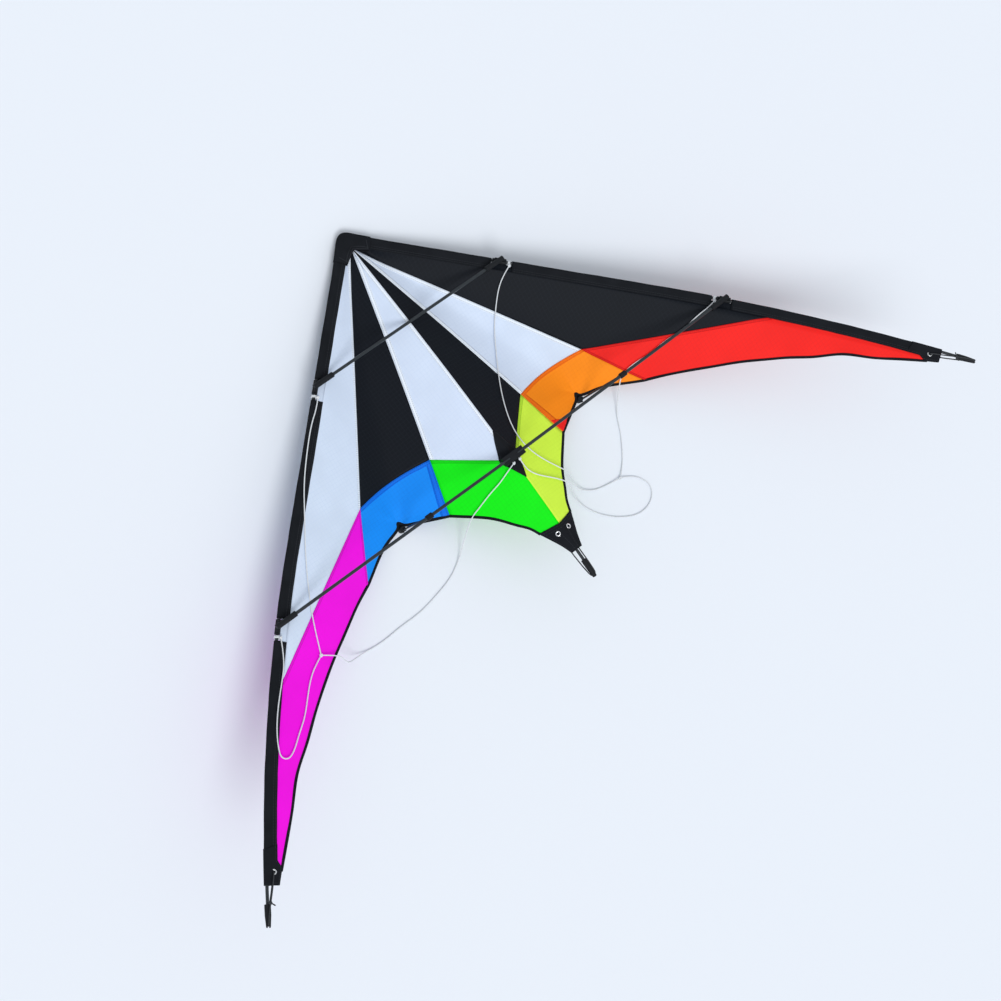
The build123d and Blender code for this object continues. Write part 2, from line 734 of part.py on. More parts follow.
def bridle_nodes(nodes):
    """Loops, lines and knots of the bridle."""
    nodes["right_upper_bridle_loop"] = bridle_loop(upper_station + loop_spacing)
    nodes["left_upper_bridle_loop"] = mirror(nodes["right_upper_bridle_loop"], Plane.YZ)
    nodes["right_lower_bridle_loop"] = bridle_loop(lower_station - loop_spacing)
    nodes["left_lower_bridle_loop"] = mirror(bridle_loop(lower_station + loop_spacing), Plane.YZ)
    for name, route in bridle_routes.items():
        nodes[name] = cord(route, line_radius, knot_radius, tow_knot_radius)
    for side in ("left", "right"):
        end = bridle_routes[side + "_inhaul"][-1]
        nodes[side + "_tow_knot"] = Pos(*end) * Sphere(tow_knot_radius)
    knot_y = -centre_width / 2 - knot_radius - line_gap / 2
    knots = [Pos(x, knot_y, 0) * Sphere(knot_radius) for x in (-centre_knot_x, centre_knot_x)]
    nodes["centre_bridle_knots"] = Compound(knots)


kite = {}
sail_nodes(kite)
frame_nodes(kite)
end_nodes(kite)
tension_cords(kite)
bridle_nodes(kite)

os.makedirs("parts", exist_ok=True)
whole = Compound([Rot(-rest_tilt(), 0, 0) * shape for shape in kite.values()])
box = whole.bounding_box()
to_floor = Pos(-box.center().X, -box.center().Y, -box.min.Z) * Rot(-rest_tilt(), 0, 0)
for node, shape in kite.items():
    export_step(to_floor * shape, "parts/" + node + ".step")
print("tilt", rest_tilt(), "box", box.size, "floor shift", -box.center().Y, -box.min.Z)
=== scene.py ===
import json
import math

import bmesh
import bpy
from mathutils import Matrix, Vector


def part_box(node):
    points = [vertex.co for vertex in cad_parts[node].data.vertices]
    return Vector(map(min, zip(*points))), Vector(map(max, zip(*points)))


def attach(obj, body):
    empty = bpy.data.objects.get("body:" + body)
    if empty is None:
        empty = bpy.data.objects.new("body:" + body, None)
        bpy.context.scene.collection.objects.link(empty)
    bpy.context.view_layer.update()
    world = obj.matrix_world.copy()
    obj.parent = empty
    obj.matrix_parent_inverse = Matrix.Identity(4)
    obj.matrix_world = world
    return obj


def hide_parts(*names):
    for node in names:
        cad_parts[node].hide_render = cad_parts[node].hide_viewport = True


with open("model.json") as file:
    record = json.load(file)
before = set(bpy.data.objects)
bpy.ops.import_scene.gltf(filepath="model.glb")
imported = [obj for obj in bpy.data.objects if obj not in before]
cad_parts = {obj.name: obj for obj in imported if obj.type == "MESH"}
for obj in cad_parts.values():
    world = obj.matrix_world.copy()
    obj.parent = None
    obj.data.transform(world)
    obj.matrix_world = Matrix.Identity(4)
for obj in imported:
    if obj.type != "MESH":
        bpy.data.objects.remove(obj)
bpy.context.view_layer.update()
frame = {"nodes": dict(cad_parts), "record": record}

# The kite's own frame, in millimetres: the origin is on the sail under the centre fitting,
# x runs to the right wing, y to the nose and z to the flyer

kite = {
    "noseY": 356.0,
    "bend": (300.0, 74.0),
    "tip": (600.0, -268.0, 30.0),
    "tailY": -182.0,
    "centreDrop": 5.0,
    "tailDrop": 28.0,
    "notchDepth": 66.0,
    "notch": (152.5, 24.0),
    "seamInset": 12.8,            # from the spar to the sail's edge
    "cutOuts": (208.0, 515.0),    # stations along the spar where its sleeve is cut away
}
signs = {"left": -1, "right": 1}
towKnots = {"left": (-348, -55, -17.1), "right": (140, -100, -94)}

nose = Vector((0, kite["noseY"], 0))
bend = Vector((*kite["bend"], 0))
tip = Vector(kite["tip"])
straight = (bend - nose).length
edgeWay = (bend - nose).normalized()
chord = tip - bend
chordAlong = chord.dot(edgeWay)
bendSide = chord - edgeWay * chordAlong
chordAside = bendSide.length
bendSide.normalize()
bendRadius = chord.length ** 2 / (2 * chordAside)
edgeLength = straight + bendRadius * 2 * math.atan2(chordAside, chordAlong)
notchRadius = math.hypot(kite["notch"][0], nose.y - kite["notch"][1])
tipRadius = math.hypot(tip.x, nose.y - tip.y)
notchAngle = math.atan2(kite["notch"][0], nose.y - kite["notch"][1])
edgeAngle = math.atan2(bend.x, nose.y - bend.y)
tipAngle = math.atan2(tip.x, nose.y - tip.y)


def edgeAt(station):
    if station <= straight:
        return nose + edgeWay * station, edgeWay.copy()
    turn = (station - straight) / bendRadius
    point = bend + edgeWay * (bendRadius * math.sin(turn))
    point += bendSide * (bendRadius * (1 - math.cos(turn)))
    return point, edgeWay * math.cos(turn) + bendSide * math.sin(turn)


def inward(way):
    return Vector((way.y, -way.x, 0)).normalized()


def sleeveEdge(station, inset=kite["seamInset"]):
    point, way = edgeAt(station)
    place = point + inward(way) * inset
    return place.x, place.y


def spineHeight(y):
    # the spine bows between the nose and the tail
    length, tail = nose.y - y, nose.y - kite["tailY"]
    bow = (kite["tailDrop"] - kite["centreDrop"] * tail / nose.y) / (tail * (tail - nose.y))
    return length * (bow * nose.y - kite["centreDrop"] / nose.y) - bow * length ** 2


def sailHeight(x, y):
    # a shallow cone from the nose on each wing, deepest where the stand-off pushes
    reach = math.hypot(x, nose.y - y)
    beyond = min(1.0, max(0.0, (reach - straight) / (tipRadius - straight)))
    widest = edgeAngle + (tipAngle - edgeAngle) * beyond
    widest -= kite["seamInset"] / max(reach, 50.0)
    angle = min(math.atan2(abs(x), nose.y - y), widest)
    share = 0.5 * angle / notchAngle
    if angle >= notchAngle:
        share = 1 - 0.5 * (widest - angle) / (widest - notchAngle)
    soft = 0.02 * max(0.0, 1 - (reach / notchRadius) ** 2)
    fullness = 0.5 * (1 - math.sqrt((2 * share - 1) ** 2 + soft) + math.sin(math.pi * share))
    past = max(0.0, (reach - notchRadius) / (tipRadius - notchRadius))
    fade = max(0.0, 1 - past) ** 0.7
    height = -kite["notchDepth"] * reach / notchRadius * fullness * fade
    height += spineHeight(y) * (1 - angle / widest)
    return height + tip.z * max(0.0, (abs(x) - bend.x) / (tip.x - bend.x)) ** 2


def middleOf(node):
    low, high = (Vector(corner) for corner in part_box(node))
    return (low + high) / 2


# the kite is laid on its back: turned about x, then set down on its nose cap and feet
knotStep = Vector(towKnots["right"]) - Vector(towKnots["left"])
laidStep = middleOf("right_tow_knot") - middleOf("left_tow_knot")
restTilt = math.atan2(knotStep.z, knotStep.y) - math.atan2(laidStep.z, laidStep.y)
turnDown = Matrix.Rotation(-restTilt, 4, "X")
setDown = middleOf("left_tow_knot") * 1000 - turnDown @ Vector(towKnots["left"])
toFloor = Matrix.Diagonal((0.001, 0.001, 0.001, 1)) @ Matrix.Translation(setDown) @ turnDown


def onFloor(x, y, z):
    return toFloor @ Vector((x, y, z))


def mixed(a, b, share):
    return tuple(p + (q - p) * share for p, q in zip(a, b))


print("kite frame ready, tilt", round(math.degrees(restTilt), 3))


def newMaterial(name, colour, roughness, specular=0.5):
    material = bpy.data.materials.new(name)
    material.use_nodes = True
    shader = material.node_tree.nodes["Principled BSDF"]
    shader.inputs["Base Color"].default_value = (*colour, 1)
    shader.inputs["Roughness"].default_value = roughness
    shader.inputs["Specular IOR Level"].default_value = specular
    return material, material.node_tree, shader


def addNode(tree, kind, **settings):
    node = tree.nodes.new(kind)
    for key, value in settings.items():
        if key in node.inputs:
            node.inputs[key].default_value = value
        else:
            setattr(node, key, value)
    return node


def addPattern(tree, kind, **settings):
    # a texture laid out in the piece's own coordinates
    texture = addNode(tree, kind, **settings)
    place = addNode(tree, "ShaderNodeTexCoord")
    tree.links.new(place.outputs["Object"], texture.inputs["Vector"])
    return texture


def addBump(tree, shader, heightSocket, strength, distance):
    bump = addNode(tree, "ShaderNodeBump", Strength=strength, Distance=distance)
    tree.links.new(heightSocket, bump.inputs["Height"])
    tree.links.new(bump.outputs["Normal"], shader.inputs["Normal"])


def shaded(tree, shader, factorSocket, dark, light):
    # the colour runs from dark to light with the pattern
    ramp = addNode(tree, "ShaderNodeValToRGB")
    ramp.color_ramp.elements[0].color = (*dark, 1)
    ramp.color_ramp.elements[1].color = (*light, 1)
    tree.links.new(factorSocket, ramp.inputs["Fac"])
    tree.links.new(ramp.outputs["Color"], shader.inputs["Base Color"])
    return ramp


ripstop = {"square": 5.0, "threadWidth": 0.35, "roughness": 0.55, "specular": 0.1,
           "driftScale": 0.018, "driftShade": 0.93, "driftRange": (0.3, 0.62)}


def ripstopCloth(name, colour, threadColour):
    # thin nylon with a heavier thread every few millimetres, on the piece's own flat pattern
    material, tree, shader = newMaterial(name, colour, ripstop["roughness"], ripstop["specular"])
    pattern = addNode(tree, "ShaderNodeUVMap", uv_map="flat")
    settings = {"Scale": 1.0, "Mortar Size": ripstop["threadWidth"] / 2, "Mortar Smooth": 0.4,
                "Brick Width": ripstop["square"], "Row Height": ripstop["square"]}
    squares = addNode(tree, "ShaderNodeTexBrick", offset=0.0, squash=1.0, **settings)
    squares.inputs["Mortar"].default_value = (*threadColour, 1)
    drift = addNode(tree, "ShaderNodeTexNoise", Scale=ripstop["driftScale"], Detail=3.0)
    dark = [c * ripstop["driftShade"] for c in colour]
    ramp = shaded(tree, shader, drift.outputs["Fac"], dark, colour)
    for stop, position in zip(ramp.color_ramp.elements, ripstop["driftRange"]):
        stop.position = position
    for socket in ("Color1", "Color2"):
        tree.links.new(ramp.outputs["Color"], squares.inputs[socket])
    tree.links.new(squares.outputs["Color"], shader.inputs["Base Color"])
    for texture in (squares, drift):
        tree.links.new(pattern.outputs["UV"], texture.inputs["Vector"])
    addBump(tree, shader, squares.outputs["Fac"], 0.25, 0.0002)
    return material


def wovenWebbing(name, colour, lighter):
    material, tree, shader = newMaterial(name, colour, 0.8, 0.12)
    ribs = addPattern(tree, "ShaderNodeTexVoronoi", Scale=900.0)
    wear = addPattern(tree, "ShaderNodeTexNoise", Scale=45.0, Detail=4.0)
    shaded(tree, shader, wear.outputs["Fac"], colour, lighter)
    addBump(tree, shader, ribs.outputs["Distance"], 0.5, 0.0004)
    return material


def drawnRod(name, colour, lighter):
    # pultruded fibreglass: fine streaks and a satin gloss
    material, tree, shader = newMaterial(name, colour, 0.32, 0.3)
    shader.inputs["Coat Weight"].default_value = 0.1
    shader.inputs["Coat Roughness"].default_value = 0.2
    streaks = addPattern(tree, "ShaderNodeTexNoise", Scale=260.0, Detail=5.0)
    shaded(tree, shader, streaks.outputs["Fac"], colour, lighter)
    addBump(tree, shader, streaks.outputs["Fac"], 0.12, 0.0002)
    return material


def mouldedVinyl(name, colour, lighter):
    material, tree, shader = newMaterial(name, colour, 0.55, 0.16)
    skin = addPattern(tree, "ShaderNodeTexNoise", Scale=700.0, Detail=3.0)
    scuffs = addPattern(tree, "ShaderNodeTexNoise", Scale=60.0, Detail=6.0)
    shaded(tree, shader, scuffs.outputs["Fac"], colour, lighter)
    addBump(tree, shader, skin.outputs["Fac"], 0.2, 0.0003)
    return material


def braidedLine(name, colour, darker):
    material, tree, shader = newMaterial(name, colour, 0.75, 0.25)
    braid = addPattern(tree, "ShaderNodeTexVoronoi", Scale=1300.0)
    shaded(tree, shader, braid.outputs["Distance"], colour, darker)
    addBump(tree, shader, braid.outputs["Distance"], 0.6, 0.0003)
    return material


def pressedMetal(name, colour):
    material, tree, shader = newMaterial(name, colour, 0.22)
    shader.inputs["Metallic"].default_value = 1.0
    rubbed = addPattern(tree, "ShaderNodeTexNoise", Scale=900.0, Detail=2.0)
    shaded(tree, shader, rubbed.outputs["Fac"], [c * 0.8 for c in colour], colour)
    addBump(tree, shader, rubbed.outputs["Fac"], 0.08, 0.0002)
    return material


finishes = {
    "white_cloth": ripstopCloth("whiteRipstop", (0.66, 0.75, 0.90), (0.58, 0.68, 0.85)),
    "black_cloth": ripstopCloth("blackRipstop", (0.005, 0.007, 0.011), (0.011, 0.014, 0.020)),
    "magenta_cloth": ripstopCloth("magentaRipstop", (0.93, 0.004, 0.78), (0.82, 0.01, 0.68)),
    "blue_cloth": ripstopCloth("blueRipstop", (0.008, 0.27, 0.93), (0.01, 0.22, 0.80)),
    "green_cloth": ripstopCloth("greenRipstop", (0.005, 0.86, 0.008), (0.01, 0.74, 0.01)),
    "lime_cloth": ripstopCloth("limeRipstop", (0.68, 0.98, 0.07), (0.60, 0.88, 0.06)),
    "orange_cloth": ripstopCloth("orangeRipstop", (0.98, 0.27, 0.010), (0.88, 0.22, 0.01)),
    "red_cloth": ripstopCloth("redRipstop", (0.90, 0.018, 0.014), (0.76, 0.02, 0.02)),
    "black_webbing": wovenWebbing("blackWebbing", (0.004, 0.005, 0.007), (0.012, 0.014, 0.018)),
    "fibreglass_rod": drawnRod("darkFibreglass", (0.011, 0.015, 0.018), (0.030, 0.038, 0.044)),
    "vinyl_fitting": mouldedVinyl("blackVinyl", (0.005, 0.006, 0.008), (0.014, 0.016, 0.019)),
    "eyelet_metal": pressedMetal("nickelEyelet", (0.78, 0.79, 0.80)),
    "black_cord": braidedLine("blackElastic", (0.016, 0.018, 0.021), (0.05, 0.054, 0.06)),
    "kite_line": braidedLine("whiteLine", (0.86, 0.88, 0.90), (0.55, 0.58, 0.62)),
}
doubled = {   # seam allowances: two layers of cloth, so denser in colour
    "white_cloth": ripstopCloth("whiteSeam", (0.84, 0.90, 0.97), (0.76, 0.83, 0.93)),
    "magenta_cloth": ripstopCloth("magentaSeam", (0.80, 0.003, 0.66), (0.7, 0.006, 0.58)),
    "blue_cloth": ripstopCloth("blueSeam", (0.005, 0.17, 0.80), (0.006, 0.14, 0.7)),
    "green_cloth": ripstopCloth("greenSeam", (0.004, 0.70, 0.006), (0.006, 0.6, 0.008)),
    "lime_cloth": ripstopCloth("limeSeam", (0.50, 0.80, 0.04), (0.44, 0.7, 0.04)),
    "orange_cloth": ripstopCloth("orangeSeam", (0.90, 0.17, 0.006), (0.8, 0.14, 0.006)),
    "red_cloth": ripstopCloth("redSeam", (0.76, 0.012, 0.010), (0.66, 0.012, 0.012)),
}
threads = {
    "white_cloth": braidedLine("paleThread", (0.34, 0.42, 0.56), (0.24, 0.3, 0.42)),
    "black_cloth": braidedLine("blackThread", (0.03, 0.034, 0.042), (0.012, 0.014, 0.018)),
    "magenta_cloth": braidedLine("magentaThread", (0.62, 0.01, 0.5), (0.4, 0.01, 0.33)),
    "blue_cloth": braidedLine("blueThread", (0.004, 0.08, 0.50), (0.004, 0.05, 0.33)),
    "green_cloth": braidedLine("greenThread", (0.01, 0.5, 0.01), (0.01, 0.35, 0.01)),
    "lime_cloth": braidedLine("limeThread", (0.42, 0.62, 0.04), (0.3, 0.46, 0.03)),
    "orange_cloth": braidedLine("orangeThread", (0.66, 0.12, 0.01), (0.45, 0.08, 0.01)),
    "red_cloth": braidedLine("redThread", (0.55, 0.008, 0.008), (0.38, 0.006, 0.006)),
}

for node, thing in frame["nodes"].items():
    slotName = next(s["material_slot"] for s in frame["record"]["subparts"] if s["node"] == node)
    if thing.material_slots:
        for place in thing.material_slots:
            place.material = finishes[slotName]
    else:
        thing.data.materials.append(finishes[slotName])
print("finishes on", len(frame["nodes"]), "frame nodes")


def newPiece(name, bm, slotName, node=None, material=None, smooth=True):
    mesh = bpy.data.meshes.new(name)
    bm.to_mesh(mesh)
    bm.free()
    piece = bpy.data.objects.new(name, mesh)
    bpy.context.collection.objects.link(piece)
    mesh.materials.append(material or finishes[slotName])
    for face in mesh.polygons:
        face.use_smooth = smooth
    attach(piece, "frame")
    if node:
        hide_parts(node)
    return piece


def thicken(piece, thickness):
    # half of the thickness, in millimetres, goes to each side
    solid = piece.modifiers.new("thickness", "SOLIDIFY")
    solid.thickness = thickness / 1000
    solid.offset = 0.0
    solid.use_even_offset = False


def shapedGrid(across, along, placeOf, flatOf):
    # a grid of cloth; placeOf(u, v) gives its place on the kite and flatOf(u, v) its flat pattern
    bm = bmesh.new()
    bmesh.ops.create_grid(bm, x_segments=across, y_segments=along, size=0.5)
    flat = bm.loops.layers.uv.new("flat")
    for face in bm.faces:
        for loop in face.loops:
            loop[flat].uv = flatOf(loop.vert.co.x + 0.5, loop.vert.co.y + 0.5)
    for vert in bm.verts:
        vert.co = onFloor(*placeOf(vert.co.x + 0.5, vert.co.y + 0.5))
    bmesh.ops.recalc_face_normals(bm, faces=bm.faces)
    return bm


def joinGrid(whole, bm):
    part = bpy.data.meshes.new("part")
    bm.to_mesh(part)
    bm.free()
    whole.from_mesh(part)
    bpy.data.meshes.remove(part)


def smoothLine(points, share):
    # an even curve through the points, for a scalloped edge
    position = share * (len(points) - 1)
    i = min(int(position), len(points) - 2)
    t = position - i
    b, c = Vector(points[i]), Vector(points[i + 1])
    a = Vector(points[i - 1]) if i else b * 2 - c
    d = Vector(points[i + 2]) if i + 2 < len(points) else c * 2 - b
    place = b * 2 + (c - a) * t + (a * 2 - b * 5 + c * 4 - d) * t ** 2
    place += (b * 3 - a - c * 3 + d) * t ** 3
    return tuple(place / 2)


def stitch(bm, path, count, dash):
    # a row of stitches; path(share) gives each one's place on the kite and dash its size
    for i in range(count):
        here = onFloor(*path((i + 0.5) / count))
        ahead = onFloor(*path(min(1.0, (i + 0.6) / count))) - here
        turn = ahead.to_track_quat("X", "Z").to_matrix().to_4x4()
        scale = Matrix.Diagonal((*(size / 1000 for size in dash), 1))
        bmesh.ops.create_cube(bm, size=1, matrix=Matrix.Translation(here) @ turn @ scale)


def blackStitches(name, rows):
    return newPiece(name, rows, "black_webbing", material=threads["black_cloth"], smooth=False)


view = {
    "place": (-0.9512, 0.2205, 2.3850),
    "lookAt": (-0.0376, -0.0869, 0.0500),
    "upTo": (0.5561, 0.8240, 0.1091),
    "lens": 71.93,
    "sensor": 36.0,
    "farthest": 50.0,
}


def makeCamera():
    data = bpy.data.cameras.new("camera")
    data.lens = view["lens"]
    data.sensor_width = view["sensor"]
    data.clip_end = view["farthest"]
    camera = bpy.data.objects.new("camera", data)
    bpy.context.collection.objects.link(camera)
    back = (Vector(view["place"]) - Vector(view["lookAt"])).normalized()
    right = Vector(view["upTo"]).cross(back).normalized()
    turn = Matrix((right, back.cross(right), back)).transposed().to_4x4()
    camera.matrix_world = Matrix.Translation(view["place"]) @ turn
    bpy.context.scene.camera = camera


studio = {
    "floorSize": 14.0, "floorHeight": -0.0006, "floorColour": (0.78, 0.82, 0.88),
    "sky": 0.71, "skyColour": (0.93, 0.96, 1.0),
    "sun": 0.98, "sunTurn": (28, -24, 0), "sunSoftness": 26,
}


def makeStudio():
    bm = bmesh.new()
    bmesh.ops.create_grid(bm, x_segments=1, y_segments=1, size=studio["floorSize"] / 2)
    mesh = bpy.data.meshes.new("floor")
    bm.to_mesh(mesh)
    bm.free()
    floor = bpy.data.objects.new("floor", mesh)
    floor.location.z = studio["floorHeight"]
    bpy.context.collection.objects.link(floor)
    mesh.materials.append(newMaterial("paleFloor", studio["floorColour"], 0.9)[0])
    world = bpy.data.worlds.new("softSky")
    world.use_nodes = True
    background = world.node_tree.nodes["Background"]
    background.inputs["Color"].default_value = (*studio["skyColour"], 1)
    background.inputs["Strength"].default_value = studio["sky"]
    bpy.context.scene.world = world
    light = bpy.data.lights.new("sun", "SUN")
    light.energy = studio["sun"] * math.pi / 2
    light.angle = math.radians(studio["sunSoftness"])
    sun = bpy.data.objects.new("sun", light)
    sun.rotation_euler = [math.radians(a) for a in studio["sunTurn"]]
    bpy.context.collection.objects.link(sun)
    bpy.context.scene.view_settings.view_transform = "Standard"


makeCamera()
makeStudio()
print("camera and studio ready")

# The bridle's points, in the order in which each line runs from the kite to its tow knot

lineWidth = 1.5
bridle = {
    "leftUpperOuthaul": {"node": "left_upper_outhaul", "length": 0.320, "route": [
        (-157.8, 201.2, 2.2), (-168, 191, 4.6), (-188, 177, 5.2), (-213, 153, 5.2),
        (-241, 123, 4.4), (-265, 90, 3), (-285, 62, -1.2), (-304, 33, -4.9), (-321, 4, -8.8),
        (-336, -26, -13.1), (-348, -55, -17.1)]},
    "leftLowerOuthaul": {"node": "left_lower_outhaul", "length": 0.289, "route": [
        (-379.4, -10.9, 4.2), (-386, -23, 4.9), (-398, -41, 6), (-415, -57, 7.4),
        (-434, -75, 9.2), (-451, -94, 11.2), (-463, -112, 12.6), (-468, -124, 12.8),
        (-461, -131, 8.5), (-449, -127, 4.5), (-432, -115, 0.6), (-413, -103, -4.2),
        (-397, -88, -6.7), (-381, -73, -9.1), (-365, -62, -12.6), (-348, -55, -17.1)]},
    "leftInhaul": {"node": "left_inhaul", "length": 0.437, "route": [
        (-5, -7.6, 0), (-15, -11, -11.1), (-29, -16, -18.6), (-46, -19, -27), (-63, -24, -35.1),
        (-79, -28, -40.9), (-90, -38, -60), (-101, -50, -79), (-116, -62, -88.3),
        (-137, -72, -90.3), (-164, -78, -91.5), (-194, -83, -92.5), (-226, -82, -92.3),
        (-257, -84, -92.7), (-285, -80, -91.9), (-305, -80, -80), (-315, -80, -60),
        (-322, -77, -41), (-327, -70, -25.5), (-337, -61, -24.2), (-348, -55, -17.1)]},
    "rightUpperOuthaul": {"node": "right_upper_outhaul", "length": 0.445, "route": [
        (157.8, 201.2, 2.2), (147, 197, 1), (134, 189, -9), (120, 173, -22), (104, 152, -34.4),
        (87, 127, -36), (69, 103, -30.4), (53, 80, -24.2), (40, 57, -19.1), (31, 35, -15.8),
        (28, 14, -15.8), (32, -7, -19.5), (41, -25, -25), (52, -42, -29.9), (62, -55, -36.5),
        (70, -67, -65), (80, -80, -88), (98, -92, -94.3), (119, -97, -95.2), (140, -100, -94)]},
    "rightLowerOuthaul": {"node": "right_lower_outhaul", "length": 0.295, "route": [
        (361.3, 7.7, 3.4), (350, 5.5, 3.4), (332, 6, -3.2), (309, 3, -14.3), (284, 6, -23.9),
        (257, 5, -35.7), (232, 8, -44.7), (212, 5, -51.7), (202, -7, -60), (194, -20, -76),
        (185, -34, -82.8), (178, -52, -86.4), (167, -70, -89.9), (155, -87, -93.3),
        (140, -100, -94)]},
    "rightInhaul": {"node": "right_inhaul", "length": 0.332, "route": [
        (5, -7.6, 0), (6, -20, -7.3), (13, -33, -12), (25, -43, -18.6), (37, -52, -24.9),
        (48, -63, -29.4), (55, -70, -40), (60, -78, -62), (66, -88, -82), (74, -101, -96),
        (87, -122, -100.2), (108, -141, -103.9), (135, -154, -106.5), (160, -150, -105.7),
        (173, -133, -102.3), (165, -115, -98.8), (153, -105, -96.8), (140, -100, -94)]},
}


def roundLine(name, runs, width, resolution):
    # each run is its points and whether it closes on itself
    data = bpy.data.curves.new(name, "CURVE")
    data.dimensions = "3D"
    for points, cyclic in runs:
        spline = data.splines.new("NURBS")
        spline.points.add(len(points) - 1)
        for spot, place in zip(spline.points, points):
            spot.co = (*place, 1)
        spline.order_u = 3
        spline.use_endpoint_u = not cyclic
        spline.use_cyclic_u = cyclic
    data.resolution_u = resolution
    data.bevel_depth = width / 2000
    data.bevel_resolution = 3
    data.use_fill_caps = True
    piece = bpy.data.objects.new(name, data)
    bpy.context.collection.objects.link(piece)
    return piece


def looseLine(name, points):
    piece = roundLine(name, [(points, False)], lineWidth, 10)
    piece.data.materials.append(finishes["kite_line"])
    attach(piece, "frame")
    return piece


def tiedLine(name, runs, width, node, slotName="kite_line"):
    # line that is wound or knotted in place
    run = roundLine("run", runs, width, 6)
    data = run.data
    bpy.context.view_layer.update()
    shaped = run.evaluated_get(bpy.context.evaluated_depsgraph_get())
    mesh = bpy.data.meshes.new_from_object(shaped)
    mesh.name = name
    mesh.materials.clear()
    mesh.materials.append(finishes[slotName])
    bpy.data.objects.remove(run)
    bpy.data.curves.remove(data)
    piece = bpy.data.objects.new(name, mesh)
    bpy.context.collection.objects.link(piece)
    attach(piece, "frame")
    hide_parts(node)
    return piece


def knotPoints(centre, size):
    # a three-lobed overhand knot pulled tight
    points = []
    for i in range(24):
        a = math.tau * i / 24
        reach = 1.5 + math.cos(3 * a) * 0.75
        spot = Vector((reach * math.cos(2 * a), reach * math.sin(2 * a), math.sin(3 * a) * 0.9))
        points.append(centre + spot * size / 1000)
    return points


def edgeSpot(sign, station, inset, height):
    # a place beside a leading-edge spar, towards the sail and up
    point, way = edgeAt(station)
    spot = point + inward(way) * inset + inward(way).cross(way).normalized() * height
    return sign * spot.x, spot.y, spot.z


loops = {
    "wrapRadius": 2.9355, "pitch": 1.65, "turns": 2, "perTurn": 10, "startTurn": 0.5,
    "knotIn": 4.6, "knotUp": 2.2, "knotSize": 0.7,
    "stations": {"left": (221.0, 528.0), "right": (221.0, 502.0)},
}


def makeBridleLoops():
    # each outhaul starts at a doubled loop round the bare spar, with its knot on the sail's side
    for side, sign in signs.items():
        for station, level in zip(loops["stations"][side], ("upper", "lower")):
            wraps = []
            for i in range(loops["perTurn"] * loops["turns"] + 1):
                turns = i / loops["perTurn"]
                a = math.tau * turns + loops["startTurn"]
                along = station + loops["pitch"] * (turns - loops["turns"] / 2)
                inset, height = loops["wrapRadius"] * math.cos(a), loops["wrapRadius"] * math.sin(a)
                wraps.append(onFloor(*edgeSpot(sign, along, inset, height)))
            knot = onFloor(*edgeSpot(sign, station, loops["knotIn"], loops["knotUp"]))
            tiedLine(side + level.capitalize() + "BridleLoop",
                     [(wraps, False), (knotPoints(knot, loops["knotSize"]), True)],
                     lineWidth, side + "_" + level + "_bridle_loop")


tension = {
    "tip": [(63, 8, 0.3), (63, 8, 3.4), (56.5, 7.3, 4.2), (44.5, 6, 4.7), (27, 3.0, 4.9),
            (14, 0.8, 4.8), (2, 0, 3.7)],
    "tail": [(8.7, -111.05, -20.4), (6.4, -110.4, -25.9), (6.2, -122, -28.6), (5.9, -140, -30.2),
             (5.4, -160, -31), (5.0, -167, -31.1), (3.7, -180, -31.4)],
    "ends": [(0, 0, 0), (1.5, 2.6, 0.8), (3.2, 5.2, 0.3)], "width": 1.6, "knotSize": 0.62,
}


def makeTensionCords():
    # black elastic from the eyelets over the nocks, knotted, with two short tails
    for side, sign in signs.items():
        upper = [edgeSpot(sign, edgeLength - back, inset, up) for back, inset, up in tension["tip"]]
        lower = [edgeSpot(sign, edgeLength - back, inset, -up)
                 for back, inset, up in tension["tip"]]
        back, inset, up = tension["tip"][4]
        knot = onFloor(*edgeSpot(sign, edgeLength - back, inset, up))
        runs = [([onFloor(*p) for p in upper + lower[::-1]], False),
                (knotPoints(knot, tension["knotSize"]), True)]
        for lean in (-1, 1):
            end = [edgeSpot(sign, edgeLength - back + lean * b, inset + lean * i, up + u)
                   for b, i, u in tension["ends"]]
            runs.append(([onFloor(*p) for p in end], False))
        tiedLine(side + "TipCord", runs, tension["width"], side + "_tip_tension_cord", "black_cord")
    right = tension["tail"]
    route = right + [(-x, y, z) for x, y, z in right[::-1]]
    tiedLine("tailCord", [([onFloor(*p) for p in route], False)], tension["width"],
             "tail_tension_cord", "black_cord")


towKnotSize = 0.78


def makeBridle():
    for side in signs:
        points = knotPoints(onFloor(*towKnots[side]), towKnotSize)
        tiedLine(side + "TowKnot", [(points, True)], lineWidth, side + "_tow_knot")
    for name, line in bridle.items():
        piece = looseLine(name, [onFloor(*place) for place in line["route"]])
        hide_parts(line["node"])
        tuple(onFloor(*line["route"][0]))


centreKnots = {"places": [(-5, -7.6, 0), (5, -7.6, 0)], "size": 0.7}


def makeCentreKnots():
    runs = [(knotPoints(onFloor(*place), centreKnots["size"]), True)
            for place in centreKnots["places"]]
    tiedLine("centreKnots", runs, lineWidth, "centre_bridle_knots")


makeBridle()
makeBridleLoops()
makeCentreKnots()
makeTensionCords()
print("bridle lines, loops and tension cords tied")

